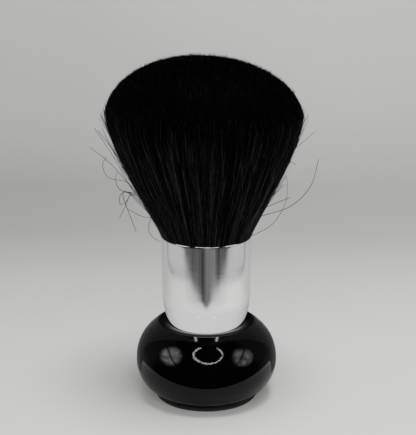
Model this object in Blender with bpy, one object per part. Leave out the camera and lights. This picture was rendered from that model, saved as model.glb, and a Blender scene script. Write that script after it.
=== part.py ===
"""Stand-up neck duster brush: weighted base knob, polished ferrule cup and flared bristle tuft.

Metres, +Z up. The origin is the centre of the foot pad's underside, and every piece is turned about +Z.
"""

from math import cos, pi, radians, sin, sqrt, tau

import bmesh
import bpy

MM = 0.001
GAP = 0.3 * MM  # clearance between neighbouring pieces
WELD = 0.001 * MM

# Base knob: a flattened ball with a shallow round recess in its top that the ferrule stands in
BASE_R = 29.9 * MM
BASE_EQUATOR_Z = 16.1 * MM
BASE_UPPER_H = 22.0 * MM
BASE_LOWER_H = 19.1 * MM
BASE_ROUNDNESS = 2.2
BASE_WALL = 3.0 * MM
SHOULDER_Z = 31.5 * MM  # above this the ball flattens towards the recess
BRIM_R = 19.4 * MM
BRIM_Z = 33.0 * MM
LIP_R = 16.0 * MM  # edge of the recess, inside the brim
LIP_Z = 32.5 * MM
SEAT_Z = 31.1 * MM
WEB_Z = 28.0 * MM  # underside of the wall that carries the ferrule
RIB_COUNT = 6
RIB_THICKNESS = 1.6 * MM
RIB_DEPTH = 6.0 * MM
RIB_INNER_R = 8.5 * MM

# Foot pad, base cap and ballast
FOOT_R = 21.6 * MM
FOOT_H = 1.5 * MM
FOOT_EDGE = 0.4 * MM
SHELL_BOTTOM_Z = FOOT_H + GAP
CAP_R = 17.0 * MM
CAP_H = 2.0 * MM
LEDGE_R = 15.8 * MM
LEDGE_H = 1.6 * MM
BALLAST_R = 15.4 * MM
BALLAST_H = 10.0 * MM
BALLAST_CHAMFER = 0.8 * MM

# Ferrule: a deep-drawn cup whose wall curves in below the waist onto a flat floor
FERRULE_BOTTOM_Z = SEAT_Z + GAP
FERRULE_WAIST_Z = 48.0 * MM
MOUTH_Z = 70.4 * MM
FERRULE_FLOOR_R = 12.5 * MM
FERRULE_WAIST_R = 18.6 * MM
FERRULE_MOUTH_R = 18.75 * MM
FERRULE_WALL = 1.0 * MM
FERRULE_ROUNDNESS = 2.3
FERRULE_FOOT_STEPS = 8

# Clamp screw, washer and threaded insert
SCREW_R = 2.4 * MM
SCREW_HOLE_R = SCREW_R + GAP
SCREW_TIP_Z = 43.0 * MM
HEAD_R = 4.6 * MM
HEAD_H = 3.2 * MM
SOCKET_R = 1.75 * MM
SOCKET_DEPTH = 2.0 * MM
WASHER_R = 5.6 * MM
WASHER_H = 1.0 * MM
INSERT_R = 4.2 * MM
INSERT_TOP_Z = 44.5 * MM
INSERT_KNURLS = 16
KNURL_DEPTH = 0.35 * MM

# Stack inside the ferrule
PLUG_TOP_Z = 46.0 * MM
RESIN_TOP_Z = 50.0 * MM
BINDING_LOW_Z = 53.5 * MM
CORD_R = 0.6 * MM
CORD_TURNS = 4
BINDING_CORE = 0.35 * MM

# Tuft: it leans about BEND_Z, so its underside is a ball about that point
TUFT_WIDEST_Z = 119.5 * MM
TUFT_TOP_Z = 145.0 * MM
TUFT_R = 40.3 * MM
TUFT_START_SLOPE = 0.9
BEND_Z = MOUTH_Z + 20.0 * MM
BALL_R = 26.5 * MM

FINE_STEPS = 48
COARSE_STEPS = 28


def arc(center, radius, start, end, count):
    """Points on an arc in the profile plane; angles in degrees from +R towards +Z."""
    angles = [radians(start + (end - start) * i / (count - 1)) for i in range(count)]
    return [(center[0] + radius * cos(a), center[1] + radius * sin(a)) for a in angles]


def bezier(a, b, c, d, count):
    """Points on a cubic curve from a to d, without a itself."""
    points = []
    for i in range(1, count + 1):
        t = i / count
        weights = ((1 - t) ** 3, 3 * t * (1 - t) ** 2, 3 * t * t * (1 - t), t**3)
        points.append(tuple(sum(w * p[k] for w, p in zip(weights, (a, b, c, d))) for k in (0, 1)))
    return points


def spaced(low, high, count):
    return [low + (high - low) * i / (count - 1) for i in range(count)]


def ball_radius(height, inset=0.0):
    """Radius of the base's flattened ball at a height, or of the ball a wall's thickness inside it."""
    half = (BASE_UPPER_H if height > BASE_EQUATOR_Z else BASE_LOWER_H) - inset
    reach = min(1.0, abs(height - BASE_EQUATOR_Z) / half)
    return (BASE_R - inset) * (1 - reach**BASE_ROUNDNESS) ** (1 / BASE_ROUNDNESS)


def ferrule_radius(height, inset=0.0):
    """Radius of the ferrule's wall moved inwards by inset: round foot, then slowly wider up to the mouth."""
    if height >= FERRULE_WAIST_Z:
        share = (height - FERRULE_WAIST_Z) / (MOUTH_Z - FERRULE_WAIST_Z)
        return FERRULE_WAIST_R + (FERRULE_MOUTH_R - FERRULE_WAIST_R) * share - inset
    reach = min(1.0, (FERRULE_WAIST_Z - height) / (FERRULE_WAIST_Z - FERRULE_BOTTOM_Z - inset))
    spread = (1 - reach**FERRULE_ROUNDNESS) ** (1 / FERRULE_ROUNDNESS)
    return FERRULE_FLOOR_R + (FERRULE_WAIST_R - inset - FERRULE_FLOOR_R) * spread


def ferrule_side(inset, top):
    """The ferrule's wall from the edge of its floor up to a height, moved inwards by inset."""
    drop = FERRULE_WAIST_Z - FERRULE_BOTTOM_Z - inset
    turns = [pi / 2 * i / FERRULE_FOOT_STEPS for i in range(FERRULE_FOOT_STEPS + 1)]
    heights = [FERRULE_WAIST_Z - drop * cos(turn) ** (2 / FERRULE_ROUNDNESS) for turn in turns]
    heights = [z for z in heights if z < top - WELD]
    return [(ferrule_radius(z, inset), z) for z in [*heights, top]]


def revolve(name, outline, steps, color, roughness, metallic=0.0):
    """A closed solid turned about +Z from (radius, height) points; a loop clear of the axis makes a ring."""
    bm = bmesh.new()
    ring = [bm.verts.new((radius, 0.0, height)) for radius, height in outline]
    pairs = list(zip(ring, ring[1:]))
    if outline[0][0] > WELD:
        pairs.append((ring[-1], ring[0]))
    edges = [bm.edges.new(pair) for pair in pairs]
    bmesh.ops.spin(bm, geom=ring + edges, cent=(0, 0, 0), axis=(0, 0, 1), angle=tau, steps=steps)
    bmesh.ops.remove_doubles(bm, verts=bm.verts, dist=WELD)
    bmesh.ops.recalc_face_normals(bm, faces=bm.faces)
    mesh = bpy.data.meshes.new(name)
    bm.to_mesh(mesh)
    bm.free()
    mesh.shade_smooth()
    mesh.set_sharp_from_angle(angle=radians(40))
    mesh.materials.append(finish(name, color, roughness, metallic))
    piece = bpy.data.objects.new(name, mesh)
    bpy.context.collection.objects.link(piece)
    return piece


def finish(name, color, roughness, metallic):
    material = bpy.data.materials.new(name)
    material.use_nodes = True
    shader = material.node_tree.nodes["Principled BSDF"]
    shader.inputs["Base Color"].default_value = (*color, 1.0)
    shader.inputs["Roughness"].default_value = roughness
    shader.inputs["Metallic"].default_value = metallic
    return material


def tool(name, build):
    """A hidden helper shape for a Boolean, filled in by build(bm)."""
    bm = bmesh.new()
    build(bm)
    mesh = bpy.data.meshes.new(name)
    bm.to_mesh(mesh)
    bm.free()
    helper = bpy.data.objects.new(name, mesh)
    helper.hide_render = True
    helper.display_type = "WIRE"
    bpy.context.collection.objects.link(helper)
    return helper


def combine(piece, helper, operation):
    modifier = piece.modifiers.new(helper.name, "BOOLEAN")
    modifier.operation = operation
    modifier.object = helper
    modifier.solver = "EXACT"


def foot_pad():
    rim = [(FOOT_R - FOOT_EDGE, 0.0), (FOOT_R, FOOT_EDGE), (FOOT_R, FOOT_H - FOOT_EDGE)]
    rim.append((FOOT_R - FOOT_EDGE, FOOT_H))
    revolve("foot_pad", [(0, 0), *rim, (0, FOOT_H)], FINE_STEPS, (0.012, 0.012, 0.012), 0.8)


def base_cap():
    low = SHELL_BOTTOM_Z
    outline = [(0, low), (CAP_R, low), (CAP_R, low + CAP_H), (0, low + CAP_H)]
    revolve("base_cap", outline, COARSE_STEPS, (0.015, 0.015, 0.016), 0.5)


def ballast_weight():
    low = SHELL_BOTTOM_Z + CAP_H + GAP
    high = low + BALLAST_H
    side = [(BALLAST_R - BALLAST_CHAMFER, low), (BALLAST_R, low + BALLAST_CHAMFER)]
    side += [(BALLAST_R, high - BALLAST_CHAMFER), (BALLAST_R - BALLAST_CHAMFER, high)]
    revolve("ballast_weight", [(0, low), *side, (0, high)], COARSE_STEPS, (0.35, 0.35, 0.36), 0.45, 1.0)


def base_shell():
    """The knob: flattened ball, dished top with a round recess, cavity open at the bottom behind a ledge."""
    shoulder = (ball_radius(SHOULDER_Z), SHOULDER_Z)
    outside = [(ball_radius(z), z) for z in spaced(SHELL_BOTTOM_Z, SHOULDER_Z, 14)]
    top = bezier(shoulder, (shoulder[0] - 1.0 * MM, shoulder[1] + 0.8 * MM), (BRIM_R + 1.6 * MM, BRIM_Z),
                 (BRIM_R, BRIM_Z), 4)
    top += [(LIP_R, LIP_Z), (LIP_R, SEAT_Z)]
    ledge_z = SHELL_BOTTOM_Z + CAP_H + GAP
    roof_z = WEB_Z - 2.5 * MM
    wall = [(ball_radius(z, BASE_WALL), z) for z in spaced(ledge_z + 2 * LEDGE_H, roof_z, 6)]
    inside = [(SCREW_HOLE_R, SEAT_Z), (SCREW_HOLE_R, WEB_Z), (wall[-1][0] - 2.5 * MM, WEB_Z)]
    inside += reversed(wall)
    inside += [(LEDGE_R, ledge_z + LEDGE_H), (LEDGE_R, ledge_z), (CAP_R + GAP, ledge_z)]
    inside += [(CAP_R + GAP, SHELL_BOTTOM_Z)]
    shell = revolve("base_shell", outside + top + inside, FINE_STEPS, (0.004, 0.004, 0.004), 0.06)
    combine(shell, tool("rib_tool", build_ribs), "UNION")


def build_ribs(bm):
    """Radial ribs under the web, from around the screw head out into the wall."""
    top = WEB_Z + BASE_WALL / 2
    outer = ball_radius(top) - BASE_WALL / 2
    low = WEB_Z - RIB_DEPTH
    for i in range(RIB_COUNT):
        turn = tau * i / RIB_COUNT
        along, across = (cos(turn), sin(turn)), (-sin(turn), cos(turn))
        corners = []
        for z in (low, top):
            for r, side in ((RIB_INNER_R, -1), (outer, -1), (outer, 1), (RIB_INNER_R, 1)):
                offset = side * RIB_THICKNESS / 2
                point = (r * along[0] + offset * across[0], r * along[1] + offset * across[1], z)
                corners.append(bm.verts.new(point))
        box = [(3, 2, 1, 0), (4, 5, 6, 7)]
        box += [(k, (k + 1) % 4, (k + 1) % 4 + 4, k + 4) for k in range(4)]
        for face in box:
            bm.faces.new([corners[k] for k in face])


def clamp_washer():
    high = WEB_Z - GAP
    low = high - WASHER_H
    outline = [(SCREW_HOLE_R, low), (WASHER_R, low), (WASHER_R, high), (SCREW_HOLE_R, high)]
    revolve("clamp_washer", outline, COARSE_STEPS, (0.6, 0.6, 0.61), 0.3, 1.0)


def clamp_screw():
    top = WEB_Z - 2 * GAP - WASHER_H
    low = top - HEAD_H
    dome = arc((HEAD_R - 1.2 * MM, low + 1.2 * MM), 1.2 * MM, -90, 0, 4)
    chamfer = 0.6 * MM
    shank = [(HEAD_R, top), (SCREW_R, top), (SCREW_R, SCREW_TIP_Z - chamfer), (SCREW_R - chamfer, SCREW_TIP_Z)]
    outline = [(0, low), *dome, *shank, (0, SCREW_TIP_Z)]
    screw = revolve("clamp_screw", outline, COARSE_STEPS, (0.55, 0.55, 0.56), 0.3, 1.0)

    def socket(bm):
        bmesh.ops.create_cone(bm, cap_ends=True, segments=6, radius1=SOCKET_R, radius2=SOCKET_R,
                              depth=2 * SOCKET_DEPTH)
        bmesh.ops.translate(bm, verts=bm.verts, vec=(0, 0, low))

    combine(screw, tool("socket_tool", socket), "DIFFERENCE")


def ferrule():
    outer = ferrule_side(0.0, MOUTH_Z - FERRULE_WALL / 2)
    rim_center = (ferrule_radius(MOUTH_Z) - FERRULE_WALL / 2, MOUTH_Z - FERRULE_WALL / 2)
    rim = arc(rim_center, FERRULE_WALL / 2, 0, 180, 5)[1:]
    inner = ferrule_side(FERRULE_WALL, MOUTH_Z - FERRULE_WALL / 2)[:-1]
    hole = [(SCREW_HOLE_R, FERRULE_BOTTOM_Z + FERRULE_WALL), (SCREW_HOLE_R, FERRULE_BOTTOM_Z)]
    revolve("ferrule", outer + rim + inner[::-1] + hole, FINE_STEPS, (0.82, 0.82, 0.83), 0.12, 1.0)


def ferrule_plug():
    inset = FERRULE_WALL + GAP
    side = ferrule_side(inset, PLUG_TOP_Z)
    bore = INSERT_R + GAP
    outline = [(bore, FERRULE_BOTTOM_Z + inset), *side, (bore, PLUG_TOP_Z)]
    revolve("ferrule_plug", outline, COARSE_STEPS, (0.45, 0.3, 0.17), 0.6)


def plug_insert():
    """Brass insert in the plug: a sleeve whose outside is cut by upright knurl grooves."""
    low = FERRULE_BOTTOM_Z + FERRULE_WALL + GAP
    outline = [(SCREW_HOLE_R, low), (INSERT_R, low), (INSERT_R, INSERT_TOP_Z), (SCREW_HOLE_R, INSERT_TOP_Z)]
    insert = revolve("plug_insert", outline, 2 * INSERT_KNURLS, (0.75, 0.52, 0.2), 0.35, 1.0)

    def grooves(bm):
        for i in range(INSERT_KNURLS):
            turn = tau * i / INSERT_KNURLS
            made = bmesh.ops.create_cone(bm, cap_ends=True, segments=4, radius1=KNURL_DEPTH,
                                         radius2=KNURL_DEPTH, depth=3 * INSERT_TOP_Z)
            bmesh.ops.translate(bm, verts=made["verts"], vec=(INSERT_R * cos(turn), INSERT_R * sin(turn), low))

    combine(insert, tool("knurl_tool", grooves), "DIFFERENCE")


def resin_set():
    low = PLUG_TOP_Z + GAP
    radius = ferrule_radius(low) - FERRULE_WALL - GAP
    outline = [(0, low), (radius, low), (radius, RESIN_TOP_Z), (0, RESIN_TOP_Z)]
    revolve("resin_set", outline, COARSE_STEPS, (0.5, 0.33, 0.12), 0.25)


def binding_radii():
    outer = ferrule_radius(BINDING_LOW_Z) - FERRULE_WALL - GAP
    return outer - 2 * CORD_R - BINDING_CORE, outer


def knot_binding():
    """Cord wound round the roots: turns lying on each other, as one solid with a scalloped outside."""
    inner, outer = binding_radii()
    turns = []
    for i in range(CORD_TURNS):
        center = (outer - CORD_R, BINDING_LOW_Z + (2 * i + 1) * CORD_R)
        turns += arc(center, CORD_R, -75, 75, 6)
    high = BINDING_LOW_Z + 2 * CORD_TURNS * CORD_R
    outline = [(inner, BINDING_LOW_Z), *turns, (inner, high)]
    revolve("knot_binding", outline, COARSE_STEPS, (0.3, 0.25, 0.18), 0.9)


def bristle_knot():
    """The set roots: a packed cylinder waisted under its binding, with a cupped top under the tuft's ball."""
    low = RESIN_TOP_Z + GAP
    waist = binding_radii()[0] - GAP
    waist_low = BINDING_LOW_Z - GAP
    waist_high = BINDING_LOW_Z + 2 * CORD_TURNS * CORD_R + GAP
    wall = ferrule_radius(low) - FERRULE_WALL - GAP
    cup_r = BALL_R + GAP
    edge_z = BEND_Z - sqrt(cup_r**2 - wall**2)
    side = [(wall, low), (wall, waist_low), (waist, waist_low), (waist, waist_high), (wall, waist_high)]
    cup = []
    for i in range(6):
        radius = wall * (1 - i / 5)
        cup.append((radius, BEND_Z - sqrt(cup_r**2 - radius**2)))
    outline = [(0, low), *side, (wall, edge_z), *cup[1:]]
    revolve("bristle_knot", outline, COARSE_STEPS, (0.01, 0.01, 0.01), 0.8)


def bristle_tuft():
    """The flared tuft: ball-shaped underside, S-shaped flank and an elliptical cut dome."""
    mouth_r = sqrt(BALL_R**2 - (BEND_Z - MOUTH_Z) ** 2)
    ball = []
    for i in range(6):
        radius = mouth_r * i / 5
        ball.append((radius, BEND_Z - sqrt(BALL_R**2 - radius**2)))
    flank = []
    for t in spaced(0.0, 1.0, 11)[1:-1]:
        rise = TUFT_START_SLOPE * (t**3 - 2 * t**2 + t) + 3 * t**2 - 2 * t**3
        flank.append((mouth_r + (TUFT_R - mouth_r) * rise, MOUTH_Z + (TUFT_WIDEST_Z - MOUTH_Z) * t))
    dome = []
    for i in range(10):
        angle = pi / 2 * i / 9
        height = TUFT_WIDEST_Z + (TUFT_TOP_Z - TUFT_WIDEST_Z) * sin(angle)
        dome.append((TUFT_R * cos(angle) if i < 9 else 0.0, height))
    revolve("bristle_tuft", ball + flank + dome, FINE_STEPS, (0.006, 0.006, 0.006), 0.7)


def clear_scene():
    for item in list(bpy.data.objects):
        bpy.data.objects.remove(item)


def main():
    clear_scene()
    for build in (foot_pad, base_cap, ballast_weight, base_shell, clamp_washer, clamp_screw, ferrule,
                  ferrule_plug, plug_insert, resin_set, knot_binding, bristle_knot, bristle_tuft):
        build()


main()
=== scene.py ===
"""Looks of the neck duster brush: turned knob and ferrule, thousands of bristles, and a soft studio."""

from math import cos, pi, radians, sin, tan, tau

import bpy
import numpy as np
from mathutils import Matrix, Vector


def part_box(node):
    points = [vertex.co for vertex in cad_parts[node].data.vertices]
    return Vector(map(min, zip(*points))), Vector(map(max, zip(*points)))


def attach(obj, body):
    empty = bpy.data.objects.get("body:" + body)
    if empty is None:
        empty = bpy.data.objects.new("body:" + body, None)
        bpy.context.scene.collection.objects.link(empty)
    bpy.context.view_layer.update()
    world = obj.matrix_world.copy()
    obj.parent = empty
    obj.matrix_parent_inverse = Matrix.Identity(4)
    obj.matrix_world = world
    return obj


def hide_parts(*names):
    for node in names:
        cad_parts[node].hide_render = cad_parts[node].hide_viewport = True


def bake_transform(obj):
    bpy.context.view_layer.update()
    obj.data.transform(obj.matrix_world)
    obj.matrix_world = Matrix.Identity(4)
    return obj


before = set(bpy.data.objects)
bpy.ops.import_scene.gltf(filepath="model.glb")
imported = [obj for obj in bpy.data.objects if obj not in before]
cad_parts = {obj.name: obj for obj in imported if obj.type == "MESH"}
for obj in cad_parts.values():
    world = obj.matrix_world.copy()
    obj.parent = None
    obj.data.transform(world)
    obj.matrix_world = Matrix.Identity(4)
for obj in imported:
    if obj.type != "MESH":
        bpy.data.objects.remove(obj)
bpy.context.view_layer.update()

MM = 0.001

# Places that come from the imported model
TUFT_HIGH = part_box("bristle_tuft")[1]
FERRULE_LOW, FERRULE_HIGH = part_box("ferrule")
KNOB_LOW, KNOB_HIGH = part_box("base_shell")
MOUTH_Z = FERRULE_HIGH.z
TUFT_TOP_Z = TUFT_HIGH.z
TUFT_R = TUFT_HIGH.x
KNOB_R = KNOB_HIGH.x

# The knob's shape: the same flattened ball, dished top and recess as its CAD solid
EQUATOR_Z, UPPER_H, LOWER_H, BALL_ROUNDNESS = 16.1 * MM, 22.0 * MM, 19.1 * MM, 2.2
KNOB_WALL = 3.0 * MM
SHOULDER_Z, BRIM_R, LIP_R, LIP_Z = 31.5 * MM, 19.4 * MM, 16.0 * MM, 32.5 * MM
WEB_Z = 28.0 * MM  # roof of the cavity, under the recess
LEDGE_R, PAD_SEAT_R = 15.8 * MM, 17.3 * MM
SCREW_HOLE_R = 2.7 * MM

# The ferrule's shape: the same round foot and waist as its CAD solid
WAIST_Z, WAIST_R, FLOOR_R, FOOT_ROUNDNESS = 48.0 * MM, 18.6 * MM, 12.5 * MM, 2.3
FERRULE_WALL = 1.0 * MM

# The tuft's shape: the same flare as its CAD solid, a little straighter down its flank
MOUTH_R = FERRULE_HIGH.x - 1.15 * MM  # the ferrule's wall and a little clearance
ROOT_Z = MOUTH_Z - 3.0 * MM
WIDEST_Z = 119.5 * MM
DOME_H = TUFT_TOP_Z - WIDEST_Z
START_SLOPE, END_SLOPE = 1.3, 0.35
LEAN_X = -0.8 * MM  # the tuft has taken a slight set to one side
DOME_TILT = 0.03
CORE_SHARE = 0.9
HAIR_R = 0.06 * MM
STRAY_R, STRAY_TIP_R = 0.15 * MM, 0.11 * MM

RNG = np.random.default_rng(7)


# ---------------------------------------------------------------- materials


def new_material(name, color, roughness, metallic=0.0, **sockets):
    """A Principled material; sockets are extra shader inputs by name, with _ for a space."""
    material = bpy.data.materials.new(name)
    material.use_nodes = True
    shader = material.node_tree.nodes["Principled BSDF"]
    shader.inputs["Base Color"].default_value = (*color, 1.0)
    shader.inputs["Roughness"].default_value = roughness
    shader.inputs["Metallic"].default_value = metallic
    for key, value in sockets.items():
        shader.inputs[key.replace("_", " ")].default_value = value
    return material


def noise(material, scale, detail=4.0, stretch=(1, 1, 1), distortion=0.0):
    """A noise texture in object space, stretched along the axes."""
    tree = material.node_tree
    place = tree.nodes.new("ShaderNodeTexCoord")
    mapping = tree.nodes.new("ShaderNodeMapping")
    mapping.inputs["Scale"].default_value = stretch
    texture = tree.nodes.new("ShaderNodeTexNoise")
    texture.inputs["Scale"].default_value = scale
    texture.inputs["Detail"].default_value = detail
    texture.inputs["Distortion"].default_value = distortion
    tree.links.new(place.outputs["Object"], mapping.inputs["Vector"])
    tree.links.new(mapping.outputs["Vector"], texture.inputs["Vector"])
    return texture.outputs["Fac"]


def spread(material, value, low, high, start=0.3, end=0.7):
    """Maps a field's values between start and end onto low to high."""
    node = material.node_tree.nodes.new("ShaderNodeMapRange")
    for key, number in (("From Min", start), ("From Max", end), ("To Min", low), ("To Max", high)):
        node.inputs[key].default_value = number
    material.node_tree.links.new(value, node.inputs["Value"])
    return node.outputs["Result"]


def ramp(material, value, stops):
    """Maps a 0-1 field to a colour; stops are (place, colour)."""
    node = material.node_tree.nodes.new("ShaderNodeValToRGB")
    elements = node.color_ramp.elements
    while len(elements) < len(stops):
        elements.new(0.5)
    for element, (place, color) in zip(elements, stops):
        element.position = place
        element.color = (*color, 1.0)
    material.node_tree.links.new(value, node.inputs["Fac"])
    return node.outputs["Color"]


def connect(material, value, socket):
    """Drives one input of the material's shader."""
    shader = material.node_tree.nodes["Principled BSDF"]
    material.node_tree.links.new(value, shader.inputs[socket])


def bump(material, value, strength, distance):
    """Raises a field as fine relief."""
    tree = material.node_tree
    node = tree.nodes.new("ShaderNodeBump")
    node.inputs["Strength"].default_value = strength
    node.inputs["Distance"].default_value = distance
    tree.links.new(value, node.inputs["Height"])
    connect(material, node.outputs["Normal"], "Normal")


def hair_material(name, color, roughness, sheen):
    """Synthetic bristle: near black, with a soft sheen that varies from hair to hair."""
    material = new_material(name, color, roughness, Specular_IOR_Level=sheen)
    field = noise(material, 900, 2.0, (1, 1, 0.15))
    connect(material, spread(material, field, roughness - 0.08, roughness + 0.14), "Roughness")
    return material


def knob_material():
    """Polished black plastic with moulding waviness and handling scuffs; inside the brim it is dull."""
    material = new_material("knob_black", (0.0012, 0.0012, 0.0012), 0.03, IOR=1.49)
    tree = material.node_tree
    place = tree.nodes.new("ShaderNodeTexCoord")
    flat, away = tree.nodes.new("ShaderNodeVectorMath"), tree.nodes.new("ShaderNodeVectorMath")
    flat.operation, away.operation = "MULTIPLY", "LENGTH"
    flat.inputs[1].default_value = (1, 1, 0)
    tree.links.new(place.outputs["Object"], flat.inputs[0])
    tree.links.new(flat.outputs[0], away.inputs[0])
    shine = spread(material, away.outputs["Value"], 0.01, 0.3, BRIM_R + 0.6 * MM, BRIM_R + 2.0 * MM)
    connect(material, shine, "Specular IOR Level")
    scuffs = noise(material, 140, 8.0, (1, 1, 3), 0.6)
    connect(material, spread(material, scuffs, 0.02, 0.075, 0.45, 0.8), "Roughness")
    bump(material, noise(material, 35, 1.0), 0.04, 0.2 * MM)
    return material


def ferrule_material():
    """Polished aluminium: bright, with fine turned haze round the cup and slight roughness patches."""
    material = new_material("ferrule_aluminium", (0.91, 0.91, 0.912), 0.1, 1.0)
    haze = noise(material, 60, 6.0, (1, 1, 30))
    connect(material, spread(material, haze, 0.07, 0.15), "Roughness")
    bump(material, noise(material, 90, 3.0, (1, 1, 22)), 0.05, 0.02 * MM)
    return material


def rubber_material():
    """Cellular rubber pad: matte, with fine pores."""
    material = new_material("pad_foam", (0.010, 0.010, 0.010), 0.8)
    pores = noise(material, 1400, 3.0)
    connect(material, spread(material, pores, 0.7, 0.95), "Roughness")
    bump(material, pores, 0.5, 0.1 * MM)
    return material


def moulded_material():
    """Moulded cap: satin black with a fine sparked grain."""
    material = new_material("cap_moulded", (0.013, 0.013, 0.014), 0.5)
    grain = noise(material, 2200, 4.0)
    connect(material, spread(material, grain, 0.42, 0.6), "Roughness")
    bump(material, grain, 0.35, 0.04 * MM)
    return material


def steel_material(name, tone, roughness):
    """Zinc-plated or machined steel with fine marks."""
    material = new_material(name, tone, roughness, 1.0)
    marks = noise(material, 420, 5.0, (1, 1, 6))
    connect(material, spread(material, marks, roughness - 0.1, roughness + 0.15), "Roughness")
    bump(material, marks, 0.2, 0.03 * MM)
    return material


def wood_material():
    """Turned beech plug: pale rings with darker pores along the grain."""
    material = new_material("plug_beech", (0.45, 0.3, 0.17), 0.6)
    grain = noise(material, 110, 6.0, (1, 1, 0.12), 1.2)
    stops = ((0.3, (0.30, 0.17, 0.08)), (0.55, (0.46, 0.30, 0.16)), (0.75, (0.55, 0.38, 0.22)))
    connect(material, ramp(material, grain, stops), "Base Color")
    bump(material, grain, 0.3, 0.1 * MM)
    return material


def resin_material():
    """Set amber resin: glossy, with faint clouds and a wavy skin."""
    material = new_material("resin_amber", (0.42, 0.22, 0.05), 0.18, IOR=1.55)
    clouds = noise(material, 160, 4.0)
    connect(material, spread(material, clouds, 0.12, 0.3), "Roughness")
    bump(material, noise(material, 90, 2.0), 0.3, 0.2 * MM)
    return material


def cord_material():
    """Waxed twine: twisted ply shows as slanting ridges."""
    material = new_material("binding_twine", (0.30, 0.24, 0.16), 0.8)
    ply = noise(material, 700, 3.0, (1, 1, 2.5), 0.8)
    stops = ((0.3, (0.20, 0.15, 0.09)), (0.7, (0.38, 0.31, 0.21)))
    connect(material, ramp(material, ply, stops), "Base Color")
    bump(material, ply, 0.6, 0.15 * MM)
    return material


def brass_material():
    """Brass insert with fine machining marks."""
    material = new_material("insert_brass", (0.75, 0.52, 0.2), 0.3, 1.0)
    marks = noise(material, 500, 4.0, (1, 1, 8))
    connect(material, spread(material, marks, 0.2, 0.42), "Roughness")
    bump(material, marks, 0.15, 0.03 * MM)
    return material


# ---------------------------------------------------------------- meshes


def mesh_piece(name, points, faces, materials, smooth=True, slots=None):
    """An object from points and faces of one size; slots picks each face's material."""
    mesh = bpy.data.meshes.new(name)
    points = np.asarray(points, np.float32)
    faces = np.asarray(faces, np.int32)
    mesh.vertices.add(len(points))
    mesh.vertices.foreach_set("co", points.ravel())
    corners = faces.shape[1]
    mesh.loops.add(faces.size)
    mesh.loops.foreach_set("vertex_index", faces.ravel())
    mesh.polygons.add(len(faces))
    mesh.polygons.foreach_set("loop_start", np.arange(0, faces.size, corners, dtype=np.int32))
    for material in materials:
        mesh.materials.append(material)
    if slots is not None:
        mesh.polygons.foreach_set("material_index", np.asarray(slots, np.int32))
    mesh.update(calc_edges=True)
    mesh.validate()
    if smooth:
        mesh.shade_smooth()
    piece = bpy.data.objects.new(name, mesh)
    bpy.context.scene.collection.objects.link(piece)
    return piece


def grid_faces(rows, columns, join_rows=False, join_columns=False):
    """Quads over a grid of points; a joined direction closes on itself."""
    last_row, last_column = rows if join_rows else rows - 1, columns if join_columns else columns - 1
    i, j = np.meshgrid(np.arange(last_row), np.arange(last_column), indexing="ij")
    i2, j2 = (i + 1) % rows, (j + 1) % columns
    corners = (i * columns + j, i2 * columns + j, i2 * columns + j2, i * columns + j2)
    return np.stack(corners, -1).reshape(-1, 4)


def revolved(outline, steps):
    """Points (steps, count, 3) of an outline of (radius, height) turned about +Z."""
    radii, heights = np.array(outline).T
    angles = np.arange(steps) * tau / steps
    x, y = np.outer(np.cos(angles), radii), np.outer(np.sin(angles), radii)
    return np.stack([x, y, np.tile(heights, (steps, 1))], -1)


def turned(name, outline, material, steps=224, sharp=40):
    """A ring-shaped solid turned about +Z; the outline is a loop of (radius, height) clear of the axis."""
    faces = grid_faces(steps, len(outline), True, True)
    piece = mesh_piece(name, revolved(outline, steps).reshape(-1, 3), faces, [material])
    piece.data.set_sharp_from_angle(angle=radians(sharp))
    return piece


def bezier(a, b, c, d, count):
    """Points on a cubic curve from a to d, without a itself."""
    t = np.arange(1, count + 1)[:, None] / count
    a, b, c, d = (np.array(p) for p in (a, b, c, d))
    return ((1 - t) ** 3 * a + 3 * t * (1 - t) ** 2 * b + 3 * t**2 * (1 - t) * c + t**3 * d).tolist()


def strands(name, paths, radii, tones, materials, sides=3):
    """Tubes along paths (count, steps, 3), with a radius per point; tones picks each strand's material."""
    count, steps, _ = paths.shape
    along = np.gradient(paths, axis=1)
    along /= np.linalg.norm(along, axis=2, keepdims=True) + 1e-12
    helper = RNG.normal(size=(count, 1, 3))
    across = np.cross(along, helper)
    across /= np.linalg.norm(across, axis=2, keepdims=True) + 1e-12
    other = np.cross(along, across)
    turns = np.arange(sides) * tau / sides
    ring = np.cos(turns)[:, None] * across[:, :, None, :] + np.sin(turns)[:, None] * other[:, :, None, :]
    points = paths[:, :, None, :] + ring * radii[:, :, None, None]
    s, k, q = np.meshgrid(np.arange(count), np.arange(steps - 1), np.arange(sides), indexing="ij")
    q2 = (q + 1) % sides
    first = (s * steps + k) * sides
    second = first + sides
    faces = np.stack([first + q, second + q, second + q2, first + q2], -1).reshape(-1, 4)
    slots = np.repeat(tones, (steps - 1) * sides)
    return mesh_piece(name, points.reshape(-1, 3), faces, materials, True, slots)


# ---------------------------------------------------------------- knob and ferrule


def ball_radius(height, inset=0.0):
    """Radius of the knob's flattened ball at a height, or of the ball a wall's thickness inside it."""
    half = np.where(height > EQUATOR_Z, UPPER_H, LOWER_H) - inset
    reach = np.minimum(1.0, np.abs(height - EQUATOR_Z) / half)
    return (KNOB_R - inset) * (1 - reach**BALL_ROUNDNESS) ** (1 / BALL_ROUNDNESS)


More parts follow.
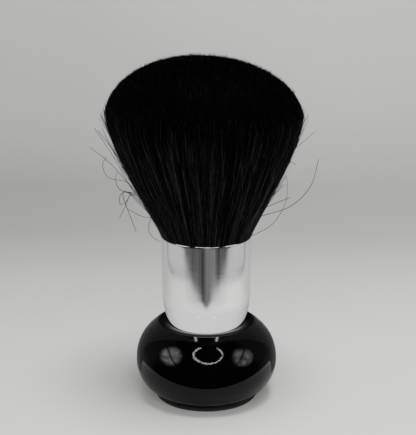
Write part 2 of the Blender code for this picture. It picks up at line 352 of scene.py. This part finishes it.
def make_knob():
    """The glossy knob as a finely turned shell, with its round recess, cavity and a softened lower edge."""
    low, brim_z, seat_z = KNOB_LOW.z, KNOB_HIGH.z, FERRULE_LOW.z - 0.3 * MM
    ledge_z, edge = low + 2.3 * MM, 0.35 * MM
    heights = low + edge + (SHOULDER_Z - low - edge) * (1 - np.cos(np.linspace(0, pi, 60))) / 2
    outside = [(float(ball_radius(z)), float(z)) for z in heights]
    start_r, start_z = outside[-1]
    top = bezier((start_r, start_z), (start_r - 1.0 * MM, start_z + 0.8 * MM), (BRIM_R + 1.6 * MM, brim_z),
                 (BRIM_R + 0.2 * MM, brim_z), 24)
    top += [(BRIM_R - 0.2 * MM, brim_z - 0.03 * MM), (LIP_R + 0.15 * MM, LIP_Z), (LIP_R, LIP_Z - 0.15 * MM)]
    top.append((LIP_R, seat_z))
    wall_z = np.linspace(ledge_z + 3.2 * MM, WEB_Z - 2.5 * MM, 24)
    wall = [(float(ball_radius(z, KNOB_WALL)), float(z)) for z in wall_z]
    inside = [(SCREW_HOLE_R, seat_z), (SCREW_HOLE_R, WEB_Z), (wall[-1][0] - 2.5 * MM, WEB_Z)] + wall[::-1]
    inside += [(LEDGE_R, ledge_z + 1.6 * MM), (LEDGE_R, ledge_z), (PAD_SEAT_R, ledge_z), (PAD_SEAT_R, low)]
    inside.append((float(ball_radius(low)) - edge, low))
    knob = turned("knob_shell", outside + top + inside, knob_material())
    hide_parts("base_shell")
    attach(knob, "handle")


def ferrule_radius(height, inset=0.0):
    """Radius of the ferrule's wall moved inwards by inset: round foot, then slowly wider up to the mouth."""
    if height >= WAIST_Z:
        return float(np.interp(height, (WAIST_Z, MOUTH_Z), (WAIST_R, FERRULE_HIGH.x))) - inset
    reach = min(1.0, (WAIST_Z - height) / (WAIST_Z - FERRULE_LOW.z - inset))
    return FLOOR_R + (WAIST_R - inset - FLOOR_R) * (1 - reach**FOOT_ROUNDNESS) ** (1 / FOOT_ROUNDNESS)


def ferrule_side(inset):
    """The cup's wall from the edge of its floor to just under the rim, moved inwards by inset."""
    turns = np.linspace(0, pi / 2, 48)
    heights = WAIST_Z - (WAIST_Z - FERRULE_LOW.z - inset) * np.abs(np.cos(turns)) ** (2 / FOOT_ROUNDNESS)
    heights = np.append(heights, np.linspace(WAIST_Z, MOUTH_Z - 0.5 * MM, 24)[1:])
    return [(ferrule_radius(z, inset), float(z)) for z in heights]


def make_ferrule():
    """The drawn cup: a thin wall with a rounded rim and a floor with the screw's hole."""
    outer, inner = ferrule_side(0.0), ferrule_side(FERRULE_WALL)
    half = FERRULE_WALL / 2
    middle_r, middle_z = outer[-1][0] - half, outer[-1][1]
    rim = [(middle_r + half * cos(a), middle_z + half * sin(a)) for a in np.linspace(0, pi, 13)[1:-1]]
    hole = [(SCREW_HOLE_R, FERRULE_LOW.z + FERRULE_WALL), (SCREW_HOLE_R, FERRULE_LOW.z)]
    cup = turned("ferrule_cup", outer + rim + inner[::-1] + hole, ferrule_material())
    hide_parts("ferrule")
    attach(cup, "handle")


# ---------------------------------------------------------------- bristles


def flare(height):
    """Radius of the tuft's flank at a height; straight above its widest part."""
    t = np.clip((height - MOUTH_Z) / (WIDEST_Z - MOUTH_Z), 0, 1)
    rise = START_SLOPE * (t**3 - 2 * t**2 + t) + 3 * t**2 - 2 * t**3 + END_SLOPE * (t**3 - t**2)
    waist = 0.7 * MM * np.sin(pi * np.clip(t * 1.25 - 0.25, 0, 1))
    bulge = 0.6 * MM * np.sin(pi * np.clip(t / 0.16, 0, 1))
    return MOUTH_R + (TUFT_R - 0.5 * MM - MOUTH_R) * rise - waist + bulge


def tip_height(share, angle):
    """Height of the cut dome over a point that sits at a share of the tuft's radius."""
    dome = WIDEST_Z + (DOME_H - 0.8 * MM) * np.sqrt(np.clip(1 - share**2, 0, 1))
    x, y = share * TUFT_R * np.cos(angle), share * TUFT_R * np.sin(angle)
    waves = 0.35 * np.sin(3 * angle + 1.0) * share + 0.25 * np.sin(5 * angle + 2.0) * share**2
    u, v = x / MM, y / MM
    waves += 0.22 * np.sin(1.7 * u + 1.6 * np.sin(0.9 * v)) * np.sin(2.0 * v + 1.4 * np.sin(1.1 * u))
    waves += 0.16 * np.sin(3.1 * u + 2.0 * np.sin(1.3 * v)) * np.sin(2.7 * v + 1.0)
    return dome - DOME_TILT * x + waves * MM


def lean(height):
    """Sideways set of the tuft's centre line."""
    t = np.clip((height - MOUTH_Z) / (WIDEST_Z - MOUTH_Z), 0, 1.4)
    return LEAN_X * t**1.2


def bristle_paths(share, angle, start, end, steps):
    """Points along bristles that keep their share of the tuft's radius from root to tip."""
    t = np.linspace(0, 1, steps)
    height = start[:, None] + (end - start)[:, None] * t
    radius = share[:, None] * flare(height)
    x = radius * np.cos(angle)[:, None] + lean(height)
    y = radius * np.sin(angle)[:, None]
    return np.stack([x, y, height], -1)


def wander(paths, amount, clump_angle):
    """Slow waviness of each bristle plus a pull shared by its clump, both growing from the clamped root."""
    count, steps, _ = paths.shape
    t = np.linspace(0, 1, steps)[None, :]
    grow = (1 - np.exp(-6 * t)) * (0.4 + 0.6 * t)
    for axis in (0, 1):
        phase = RNG.uniform(0, tau, (count, 1))
        speed = RNG.uniform(2.5, 8.0, (count, 1))
        size = amount * RNG.normal(0, 1, (count, 1))
        paths[:, :, axis] += size * np.sin(speed * t + phase) * grow
    shared = 0.5 * MM * np.sin(5 * clump_angle[:, None] + 3 * t) * grow
    paths[:, :, 0] -= shared * np.sin(clump_angle)[:, None]
    paths[:, :, 1] += shared * np.cos(clump_angle)[:, None]
    return paths


def ride_bent(piece):
    """Bakes the piece's placement into its points."""
    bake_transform(piece)


def hair_tones():
    """The three kinds of bristle: most are jet, some catch the light, some are dull."""
    return [hair_material("bristle_jet", (0.0009, 0.0009, 0.001), 0.5, 0.05),
            hair_material("bristle_glint", (0.003, 0.003, 0.0033), 0.32, 0.55),
            hair_material("bristle_dull", (0.0016, 0.0016, 0.0018), 0.5, 0.13)]


def make_flank(tones):
    """Long bristles of the tuft's outer layers: drawn into fine clumps, with looser ones crossing over."""
    pieces, each, steps, clumps = 6, 3600, 10, 800
    clump_angle = RNG.uniform(0, tau, clumps)
    t = np.linspace(0, 1, steps)[None, :]
    for number in range(pieces):
        angle = RNG.uniform(0, tau, each)
        share = 1 - 0.16 * RNG.random(each) ** 1.6
        loose = RNG.random(each) < 0.3
        share[loose] = RNG.uniform(0.97, 1.004, loose.sum())
        near = np.argmin(np.abs((angle[:, None] - clump_angle[None] + pi) % tau - pi), 1)
        pull = (clump_angle[near] - angle + pi) % tau - pi
        end = tip_height(np.minimum(share, 0.995), angle) + RNG.normal(0, 0.5 * MM, each)
        short = loose & (RNG.random(each) < 0.25)
        end[short] -= RNG.uniform(2, 22, short.sum()) * MM
        start = np.full(each, ROOT_Z)
        paths = bristle_paths(share, angle, start, end, steps)
        drift = np.where(loose, RNG.normal(0, 0.07, each), 0.0)
        turn = 0.45 * pull[:, None] * np.sin(pi * t) ** 0.8 + drift[:, None] * t
        x, y = paths[:, :, 0] - lean(paths[:, :, 2]), paths[:, :, 1].copy()
        paths[:, :, 0] = x * np.cos(turn) - y * np.sin(turn) + lean(paths[:, :, 2])
        paths[:, :, 1] = x * np.sin(turn) + y * np.cos(turn)
        paths = wander(paths, np.where(loose, 0.6 * MM, 0.3 * MM)[:, None], clump_angle[near])
        keep_in_mouth(paths)
        tone = RNG.choice((0, 2), each, p=(0.7, 0.3))
        tone[loose & (RNG.random(each) < 0.2)] = 1
        taper = np.linspace(1.0, 0.75, steps)[None, :]
        radii = HAIR_R * np.where(tone == 1, 1.35, RNG.uniform(0.8, 1.25, each))[:, None] * taper
        piece = strands(f"bristles_flank_{number + 1}", paths, radii, tone, tones)
        ride_bent(piece)


def keep_in_mouth(paths):
    """Bristles below the ferrule's rim stay inside its wall."""
    radius = np.hypot(paths[:, :, 0], paths[:, :, 1])
    low = paths[:, :, 2] < MOUTH_Z + 0.4 * MM
    limit = np.where(low, MOUTH_R, 1.0)
    scale = np.minimum(1.0, limit / np.maximum(radius, 1e-6))
    paths[:, :, 0] *= scale
    paths[:, :, 1] *= scale


def make_dome(tones):
    """Cut tips over the dome: the last millimetres of the inner bristles."""
    pieces, each, steps = 4, 10500, 4
    for number in range(pieces):
        angle = RNG.uniform(0, tau, each)
        share = np.sqrt(RNG.uniform(0, 1, each)) * 0.995
        end = tip_height(share, angle) + RNG.normal(0, 0.3 * MM, each)
        long = RNG.random(each) < 0.12
        end[long] += RNG.uniform(0.3, 1.3, long.sum()) * MM
        start = end - RNG.uniform(5.0, 8.0, each) * MM
        paths = bristle_paths(share, angle, start, end, steps)
        splay = RNG.normal(0, 0.5 * MM, (2, each, 1)) * np.linspace(0, 1, steps) ** 1.5
        paths[:, :, 0] += splay[0]
        paths[:, :, 1] += splay[1]
        radii = HAIR_R * RNG.uniform(0.9, 1.3, (each, 1)) * np.linspace(1, 0.7, steps)
        tone = RNG.choice(3, each, p=(0.8, 0.04, 0.16))
        piece = strands(f"bristles_dome_{number + 1}", paths, radii, tone, tones)
        ride_bent(piece)


def make_core(tones):
    """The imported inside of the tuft, just under the visible bristles."""
    steps_z, steps_a = 60, 160
    flank_z = np.linspace(ROOT_Z, WIDEST_Z, steps_z // 2)
    radii = [CORE_SHARE * float(flare(z)) for z in flank_z]
    heights = [float(z) for z in flank_z]
    for a in np.linspace(0, pi / 2, steps_z // 2)[1:]:
        radii.append(CORE_SHARE * TUFT_R * cos(a))
        heights.append(WIDEST_Z + (DOME_H - 3.0 * MM) * sin(a))
    angles = np.arange(steps_a) * tau / steps_a
    ripple = 1 + 0.006 * RNG.normal(size=(steps_a, 1))
    ring_r = np.array(radii)[None] * ripple
    z = np.tile(np.array(heights), (steps_a, 1))
    tilt = np.clip((z - WIDEST_Z) / DOME_H, 0, 1)
    x = ring_r * np.cos(angles)[:, None]
    points = np.stack([x + lean(z), ring_r * np.sin(angles)[:, None], z - DOME_TILT * x * tilt], -1)
    faces = grid_faces(steps_a, len(radii), True)
    core = mesh_piece("bristle_core", points.reshape(-1, 3), faces, [tones[2]])
    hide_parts("bristle_tuft")
    ride_bent(core)


# Stray hairs that have sprung out: (x, height) in mm along each, and how far it stands to the front
STRAYS = (
    (((-24.0, 83.0), (-30.2, 90.3), (-37.4, 104.1), (-45.0, 116.6)), 4),
    (((-23.5, 80.0), (-29.4, 89.4), (-37.0, 102.9), (-44.5, 113.5)), -3),
    (((-24.0, 84.0), (-31.4, 93.6), (-38.6, 102.9), (-46.4, 110.0)), 8),
    (((-25.5, 85.0), (-32.2, 94.5), (-37.7, 106.2), (-43.6, 118.6)), -6),
    (((-25.5, 85.0), (-33.5, 97.5), (-38.7, 108.0), (-42.4, 116.4)), 2),
    (((-22.0, 81.0), (-31.0, 92.8), (-39.6, 95.8), (-41.9, 101.2), (-40.2, 105.0)), 5),
    (((-21.0, 79.0), (-29.8, 88.6), (-35.1, 91.5), (-36.5, 95.8), (-35.8, 99.5)), 7),
    (((-20.5, 76.5), (-27.4, 83.9), (-32.3, 89.0), (-35.2, 88.1), (-35.3, 84.3), (-32.8, 85.6),
      (-30.6, 89.8)), 3),
    (((-27.5, 88.0), (-30.7, 89.4), (-32.8, 85.2), (-34.9, 81.3)), 9),
    (((-29.5, 89.0), (-34.0, 89.4), (-31.6, 81.8), (-28.6, 74.2)), 6),
    (((-19.0, 76.0), (-21.3, 79.2), (-26.2, 80.9), (-31.2, 84.3)), 8),
    (((-20.5, 79.0), (-22.5, 79.6), (-23.4, 76.2), (-22.2, 73.6), (-18.9, 71.9)), 10),
    (((18.2, 71.0), (20.3, 71.9), (27.3, 76.6), (32.1, 85.2), (32.8, 92.8), (32.3, 97.9)), 6),
    (((19.0, 76.5), (23.1, 78.8), (34.6, 83.0), (42.7, 91.5), (45.7, 103.1)), 2),
    (((20.5, 82.5), (23.9, 83.9), (30.4, 87.3), (33.7, 89.4)), 8),
    (((30.5, 98.0), (33.1, 99.5), (35.4, 100.0), (37.2, 98.7)), -4),
    (((29.5, 99.0), (34.6, 106.2), (39.4, 111.2), (43.8, 115.5)), 5),
    (((33.0, 101.0), (37.0, 109.1), (39.4, 114.5), (40.5, 118.2)), -7),
)


def through(spots, steps):
    """A smooth curve through the spots (Catmull-Rom), with the end tangents pointing at their neighbours."""
    spots = np.array(spots)
    padded = np.vstack([2 * spots[0] - spots[1], spots, 2 * spots[-1] - spots[-2]])
    where = np.linspace(0, len(spots) - 1, steps)
    part = np.minimum(where.astype(int), len(spots) - 2)
    t = (where - part)[:, None]
    a, b, c, d = (padded[part + k] for k in range(4))
    return 0.5 * (2 * b + (c - a) * t + (2 * a - 5 * b + 4 * c - d) * t**2 + (3 * b - a - 3 * c + d) * t**3)


def make_strays(tones):
    """Loose hairs that have sprung out of the tuft, and short flyaways all round its flank."""
    steps, loose = 32, 420
    paths = []
    for spots, front in STRAYS:
        curve = through(spots, steps) * MM
        depth = -front * MM * (0.6 + np.linspace(0, 1, steps))
        paths.append(np.stack([curve[:, 0], depth, curve[:, 1]], -1))
    angle = RNG.uniform(0, tau, loose)
    start = MOUTH_Z + RNG.uniform(2, 40, loose) * MM
    end = np.minimum(start + RNG.uniform(12, 30, loose) * MM, WIDEST_Z + 2 * MM)
    extra = bristle_paths(np.full(loose, 0.99), angle, start, end, steps)
    fine = np.linspace(0, 1, steps)[None, :]
    out = RNG.uniform(0.3, 3.0, (loose, 1)) * MM * fine**1.6
    out += RNG.normal(0, 0.5 * MM, (loose, 1)) * np.sin(4 * fine)
    extra[:, :, 0] += out * np.cos(angle)[:, None]
    extra[:, :, 1] += out * np.sin(angle)[:, None]
    paths = np.concatenate([np.array(paths), extra])
    radii = np.broadcast_to(np.linspace(STRAY_R, STRAY_TIP_R, steps), paths.shape[:2]).copy()
    radii[len(STRAYS):] *= 0.55
    piece = strands("bristle_strays", paths, radii, RNG.choice(3, len(paths)), tones, 4)
    ride_bent(piece)


# ---------------------------------------------------------------- studio


# Painted shade on the paper, standing in for how the light falls off from front to back: (y in metres, tone)
PAPER_FRONT, PAPER_BACK = -0.2, 0.85
PAPER_SHADE_TONES = ((-0.2, 0.88), (-0.05, 0.79), (0.06, 0.71), (0.155, 0.575), (0.215, 0.44), (0.26, 0.385),
               (0.37, 0.365), (0.43, 0.425), (0.505, 0.505), (0.59, 0.56), (0.65, 0.62), (0.85, 0.68))


def paper_material():
    """Matte studio paper with painted light and shade: brightest in front, darkest in its curve at the back,
    paler to one side.
    """
    material = new_material("paper", (0.72, 0.715, 0.70), 0.9, Specular_IOR_Level=0.0)
    tree = material.node_tree
    place, split = tree.nodes.new("ShaderNodeTexCoord"), tree.nodes.new("ShaderNodeSeparateXYZ")
    tree.links.new(place.outputs["Object"], split.inputs["Vector"])
    back = spread(material, split.outputs["Y"], 0.0, 1.0, PAPER_FRONT, PAPER_BACK)
    # Painted light: the paper is paler towards +x, as if lit more from that side
    side = spread(material, split.outputs["X"], 0.865, 1.04, -0.12, 0.12)
    stops = [((y - PAPER_FRONT) / (PAPER_BACK - PAPER_FRONT), (tone, 0.995 * tone, 0.975 * tone))
             for y, tone in PAPER_SHADE_TONES]
    mix = tree.nodes.new("ShaderNodeVectorMath")
    mix.operation = "SCALE"
    tree.links.new(ramp(material, back, stops), mix.inputs[0])
    tree.links.new(side, mix.inputs["Scale"])
    connect(material, mix.outputs[0], "Base Color")
    return material


def make_backdrop():
    """A round paper sweep: flat floor under the brush that curves up into a wall on every side."""
    flat_r, curve_r, wall_z, pinhole_r, steps = 0.33, 0.5, 1.3, 1e-5, 128
    outline = [(pinhole_r, 0.0)] + [(flat_r * share, 0.0) for share in np.linspace(0, 1, 8)[1:]]
    outline += [(flat_r + curve_r * sin(a), curve_r * (1 - cos(a))) for a in np.linspace(0, pi / 2, 40)[1:]]
    outline.append((flat_r + curve_r, wall_z))
    points, faces = revolved(outline, steps).reshape(-1, 3), grid_faces(steps, len(outline), True)
    sweep = mesh_piece("paper_sweep", points, faces, [paper_material()])


def smooth_step(value, low, high):
    """Rises softly from 0 at low to 1 at high."""
    t = np.clip((value - low) / (high - low), 0, 1)
    return t * t * (3 - 2 * t)


def bell(value, middle, width):
    """A soft bump: 1 at the middle, gone about two widths away."""
    return np.exp(-(((value - middle) / width) ** 2))


def card_material(name):
    """A card that glows with a painted reflection tone and is clear where its paint thins out."""
    material = bpy.data.materials.new(name)
    material.use_nodes = True
    tree = material.node_tree
    tree.nodes.clear()
    paint = tree.nodes.new("ShaderNodeAttribute")
    paint.attribute_name = "paint"
    glow, clear = tree.nodes.new("ShaderNodeEmission"), tree.nodes.new("ShaderNodeBsdfTransparent")
    mix, output = tree.nodes.new("ShaderNodeMixShader"), tree.nodes.new("ShaderNodeOutputMaterial")
    tree.links.new(paint.outputs["Color"], glow.inputs["Color"])
    tree.links.new(paint.outputs["Alpha"], mix.inputs["Fac"])
    tree.links.new(clear.outputs[0], mix.inputs[1])
    tree.links.new(glow.outputs[0], mix.inputs[2])
    tree.links.new(mix.outputs[0], output.inputs["Surface"])
    return material


def painted_card(name, points, tone, cover):
    """A gridded card seen only in reflections, carrying a painted reflection; tone is its brightness and
    cover its opacity, per point.
    """
    rows, columns, _ = points.shape
    card = mesh_piece(name, points.reshape(-1, 3), grid_faces(rows, columns), [card_material(name)])
    paint = np.stack([tone, tone, tone, cover], -1).reshape(-1).astype(np.float32)
    card.data.color_attributes.new("paint", "FLOAT_COLOR", "POINT").data.foreach_set("color", paint)
    card.visible_camera = False
    card.visible_diffuse = False
    card.visible_shadow = False
    card.visible_transmission = False


def make_floor_card():
    """A painted reflection of the floor: pale panels painted at its sides, it ends in front, and a painted
    shadow dims it close in.
    """
    x, y = np.meshgrid(np.linspace(-0.3, 0.3, 301), np.linspace(-0.32, 0.24, 281), indexing="ij")
    bearing, away = np.degrees(np.arctan2(x, -y)), np.hypot(x, y)
    sideways = np.abs(bearing)

    # Painted reflection: the dark in front of the paper's ragged end, with a few dim streaks, and painted
    # shade as a haze before it
    edge = 0.136 + 0.010 * bell(x, 0.055, 0.035) + 0.005 * bell(x, -0.06, 0.03) - 0.028 * bell(x, 0, 0.02)
    dark = smooth_step(-y, edge - 0.026, edge + 0.019)
    halo = 0.28 * smooth_step(-y, 0.072, 0.128) * (1 - smooth_step(sideways, 48, 62))
    streaks = 0.10 + 0.08 * smooth_step(bearing, -5, 3) * (1 - smooth_step(bearing, 20, 27))
    streaks += 0.03 * np.sin(bearing * 0.55 + 1.0) * np.sin(bearing * 0.23)
    streaks *= 1 - 0.6 * bell(bearing, -8, 3.5) - 0.5 * bell(bearing, 31, 4)

    # The painted side panels, with a painted shadow line at their foot and a painted dark gap at their far
    # end
    foot = np.where(x < 0, 0.194, 0.189)
    ends = 1 - smooth_step(sideways, 108, 114)
    out = np.where(sideways < 90, away, np.abs(x))
    soft = 0.003 + 0.020 * (1 - smooth_step(sideways, 60, 88))
    panel = smooth_step(out, foot - soft, foot + soft) * ends
    line = bell(out, foot - 0.004, 0.006 + 0.3 * soft) * ends
    line *= 0.16 + 0.24 * smooth_step(sideways, 65, 92)
    gap = 0.25 * bell(sideways, 112, 3.5) * smooth_step(np.abs(x), foot - 0.008, foot)
    shade = 0.73 - 0.003 * np.maximum(0, 78 - sideways) - 0.002 * np.maximum(0, sideways - 84)

    # All of it laid over each other, with the painted shadow on the floor close in on top
    behind = 0.5 * smooth_step(y, -0.01, 0.09)
    tone = np.where(panel > 0.5, shade, np.where(y > -0.01, 0.38, 0.6)) * (1 - np.maximum(line, gap))
    cover = np.maximum(np.maximum(panel, behind), smooth_step(np.maximum(line, gap), 0.02, 0.12))
    under = cover * (1 - halo)
    cover = halo + under
    tone = (0.08 * halo + tone * under) / np.maximum(cover, 0.001)
    tone = tone * (1 - dark) + streaks * dark
    cover = np.maximum(cover, dark)
    # Painted shadow: the floor close round the base is dim as the knob sees it
    close = 0.45 * (1 - smooth_step(away, 0.06, 0.088))
    tone = np.where(close > cover, 0.02, tone)
    cover = np.maximum(cover, close)
    painted_card("floor_card", np.stack([x, y, np.full_like(x, 1.0 * MM)], -1), tone, cover)


def mottle(columns, rows, column, row):
    """A smooth random field between 0 and 1, read at a place in its grid."""
    coarse = RNG.random((columns, rows))
    i, j = column.astype(int), row.astype(int)
    u, v = column - i, row - j
    near = (coarse[i, j] * (1 - u) + coarse[i + 1, j] * u) * (1 - v)
    return near + (coarse[i, j + 1] * (1 - u) + coarse[i + 1, j + 1] * u) * v


def make_dome_card():
    """A painted reflection of the room as the knob sees it: dim tent walls round a dark front with a mottled
    bright window painted on each side.
    """
    dome_r, dome_z = 0.33, 0.03
    bearing, rise = np.meshgrid(np.linspace(-180, 180, 361), np.linspace(-5, 90, 96), indexing="ij")
    sideways = np.abs(bearing)
    top = np.interp(sideways, (0, 77, 92, 103, 111, 118, 123), (78, 63, 49, 37, 22, 10, -6))
    inside = smooth_step(top - rise, -0.8, 0.8)
    walls = 0.24 + 0.12 * smooth_step(rise, 10, 80)
    walls *= 1 - 0.6 * bell(top - rise, 0, 1.8)
    patches = mottle(72, 20, (bearing + 180) / 360 * 70, (rise + 5) / 95 * 18)
    tone = np.full_like(bearing, 0.004)
    # Painted highlights: a bright mottled window on each side
    for middle, height, wide, tall, bright in ((-64, 24, 22, 22, 5.2), (64, 21, 21, 21, 4.5)):
        reach = np.hypot((bearing - middle) / wide, (rise - height) / tall)
        window = (0.25 + 1.0 * patches) * (1 - 0.35 * bell(reach, 0, 0.45))
        tone += bright * window * (1 - smooth_step(reach, 0.45, 1.12))
    # A painted dark seam crosses the windows
    seam = np.interp(sideways, (47, 71, 99), (8, 30, 42))
    tone *= 1 - 0.85 * bell(rise, seam, 2.4)
    tone += 0.13 * smooth_step(sideways, 66, 92) * smooth_step(top - rise, 1.5, 4)
    tone = tone * inside + walls * (1 - inside)
    turn, tilt = np.radians(bearing), np.radians(rise)
    points = np.stack([np.cos(tilt) * np.sin(turn), -np.cos(tilt) * np.cos(turn), np.sin(tilt)], -1)
    points *= dome_r
    points[:, :, 2] += dome_z
    painted_card("dome_card", points, tone, np.ones_like(tone))


def make_fence_card():
    """A low band round the knob with a painted reflection: in front the paper's end as the knob sees it,
    behind the dim room.
    """
    bearing = np.linspace(-180, 180, 181)
    fence_r, eye_z, eye_r, edge = 42 * MM, 15.5 * MM, 30 * MM, 46 * MM
    turn = np.radians(bearing)
    reach = edge / np.maximum(np.cos(turn), 0.01)
    behind = smooth_step(np.abs(bearing), 84, 100)
    low = eye_z * (reach - fence_r) / (reach - eye_r) * (1 - behind) + 1.2 * MM * behind
    high = (21.5 + 5.0 * behind) * MM
    z = low[:, None] + (high - low)[:, None] * np.linspace(0, 1, 5)
    x = np.broadcast_to((fence_r * np.sin(turn))[:, None], z.shape)
    y = np.broadcast_to((-fence_r * np.cos(turn))[:, None], z.shape)
    tone = 0.20 * smooth_step(np.abs(bearing), 50, 80) + 0.02 * behind
    tone = np.broadcast_to(tone[:, None], z.shape)
    painted_card("fence_card", np.stack([x, y, z], -1), tone, np.ones_like(z))


def make_foot_card():
    """A close sleeve round the ferrule's foot with a painted reflection, so that its curve mirrors pale
    paper, not the black knob.
    """
    turn = np.radians(np.linspace(-180, 180, 181))
    heights = np.linspace(FERRULE_LOW.z + 0.1 * MM, 46.0 * MM, 50)
    radii = np.array([ferrule_radius(z) for z in heights]) + 0.3 * MM
    x, y = np.sin(turn)[:, None] * radii, -np.cos(turn)[:, None] * radii
    z = np.broadcast_to(heights, x.shape)
    sideways = np.abs(np.degrees(turn))
    tone = np.interp(sideways, (0, 35, 43, 52, 62, 72, 90), (1.17, 1.15, 1.05, 0.92, 0.74, 0.5, 0.35))
    cover = 1 - smooth_step(heights, 39.0 * MM, 45.5 * MM)
    tone, cover = np.broadcast_to(tone[:, None], x.shape), np.broadcast_to(cover, x.shape)
    painted_card("foot_card", np.stack([x, y, z], -1), tone, cover)


def make_bracket_card():
    """Two small painted highlight glints and a faint painted bar between them, close over the knob's
    shoulder in front.
    """
    glint_x, bar_y, card_z, bright = 5.2 * MM, -19.6 * MM, 36.5 * MM, 16.0
    x, y = np.meshgrid(np.linspace(-7, 7, 71) * MM, np.linspace(-24, -18.6, 46) * MM, indexing="ij")
    legs = bell(np.abs(x), glint_x, 0.55 * MM) * smooth_step(-y, 19.0 * MM, 19.6 * MM)
    legs *= 1 - smooth_step(-y, 22.6 * MM, 23.4 * MM)
    bar = 0.35 * bell(y, bar_y, 0.4 * MM) * (np.abs(x) < glint_x)
    points = np.stack([x, y, np.full_like(x, card_z)], -1)
    painted_card("bracket_card", points, np.full_like(x, bright), np.maximum(legs, bar))


def area_light(name, place, target, size, power, glossy=True):
    """A round lamp that points at the target; it may stay out of reflections."""
    data = bpy.data.lights.new(name, "AREA")
    data.shape = "DISK"
    data.size = size
    data.energy = power
    lamp = bpy.data.objects.new(name, data)
    bpy.context.scene.collection.objects.link(lamp)
    lamp.location = place
    direction = lamp.location.copy()
    direction.x, direction.y, direction.z = (t - p for t, p in zip(target, place))
    lamp.rotation_euler = direction.to_track_quat("-Z", "Y").to_euler()
    lamp.visible_camera = False
    lamp.visible_glossy = glossy


def make_lights():
    """A dim even room, a big lamp overhead, a weak fill in front and the ring light."""
    world = bpy.data.worlds.new("studio")
    world.use_nodes = True
    world.node_tree.nodes["Background"].inputs["Color"].default_value = (0.9, 0.92, 0.95, 1)
    world.node_tree.nodes["Background"].inputs["Strength"].default_value = 0.25
    bpy.context.scene.world = world
    area_light("top_softbox", (0.06, -0.1, 0.95), (0, 0, 0.05), 0.42, 10.5)
    area_light("front_fill", (0.0, -0.75, 0.55), (0, 0.2, 0.1), 0.5, 2.0, glossy=False)
    make_ring_light()


def make_ring_light():
    """A ring of small bright lamps above the lens, open at its top."""
    glow = bpy.data.materials.new("ring_glow")
    glow.use_nodes = True
    tree = glow.node_tree
    tree.nodes.clear()
    emission = tree.nodes.new("ShaderNodeEmission")
    emission.inputs["Strength"].default_value = 14.0
    output = tree.nodes.new("ShaderNodeOutputMaterial")
    tree.links.new(emission.outputs[0], output.inputs["Surface"])
    rise, away, lamps = radians(43), 0.30, 130
    radius = away * tan(radians(21.5))
    first, sweep = radians(121), radians(298)
    center = np.array((0.018, -away * cos(rise), 0.03 + away * sin(rise)))
    right, up = np.array((1.0, 0, 0)), np.array((0, sin(rise), cos(rise)))
    points, faces = [], []
    for number in range(lamps):
        angle = first + sweep * number / (lamps - 1)
        half = RNG.uniform(2.5, 7.5) * MM
        spot = center + radius * RNG.uniform(0.90, 1.08) * (cos(angle) * right + sin(angle) * up)
        base = len(points)
        for sx, sy in ((-1, -1), (1, -1), (1, 1), (-1, 1)):
            points.append(tuple(spot + half * (sx * right + sy * up)))
        faces.append((base, base + 1, base + 2, base + 3))
    ring = mesh_piece("ring_lamps", points, faces, [glow], smooth=False)
    ring.visible_camera = False
    ring.visible_diffuse = False
    ring.visible_shadow = False


def make_camera():
    """The photograph's view: from just above the brush, looking slightly down."""
    data = bpy.data.cameras.new("camera")
    data.lens, data.sensor_width = 94.3, 36.0
    data.clip_start, data.clip_end = 0.01, 10.0
    look_down = 14.84
    camera = bpy.data.objects.new("camera", data)
    camera.location = (0.0007, -0.4575, 0.1989)
    camera.rotation_euler = (radians(90 - look_down), 0, 0)
    bpy.context.scene.collection.objects.link(camera)
    bpy.context.scene.camera = camera


def dress_nodes():
    """Better materials for the CAD nodes that keep their own shape."""
    steel = steel_material("fastener_steel", (0.6, 0.6, 0.61), 0.3)
    looks = {"foot_pad": rubber_material(), "base_cap": moulded_material(),
             "ballast_weight": steel_material("ballast_steel", (0.33, 0.33, 0.34), 0.45),
             "clamp_washer": steel, "clamp_screw": steel, "ferrule_plug": wood_material(),
             "plug_insert": brass_material(), "resin_set": resin_material(), "knot_binding": cord_material(),
             "bristle_knot": hair_material("knot_black", (0.004, 0.004, 0.004), 0.6, 0.2)}
    for node, material in looks.items():
        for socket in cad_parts[node].material_slots:
            socket.material = material


make_camera()
make_backdrop()
make_floor_card()
make_dome_card()
make_fence_card()
make_foot_card()
make_bracket_card()
make_lights()
dress_nodes()
make_knob()
make_ferrule()
bristle_tones = hair_tones()
make_core(bristle_tones)
make_flank(bristle_tones)
make_dome(bristle_tones)
make_strays(bristle_tones)
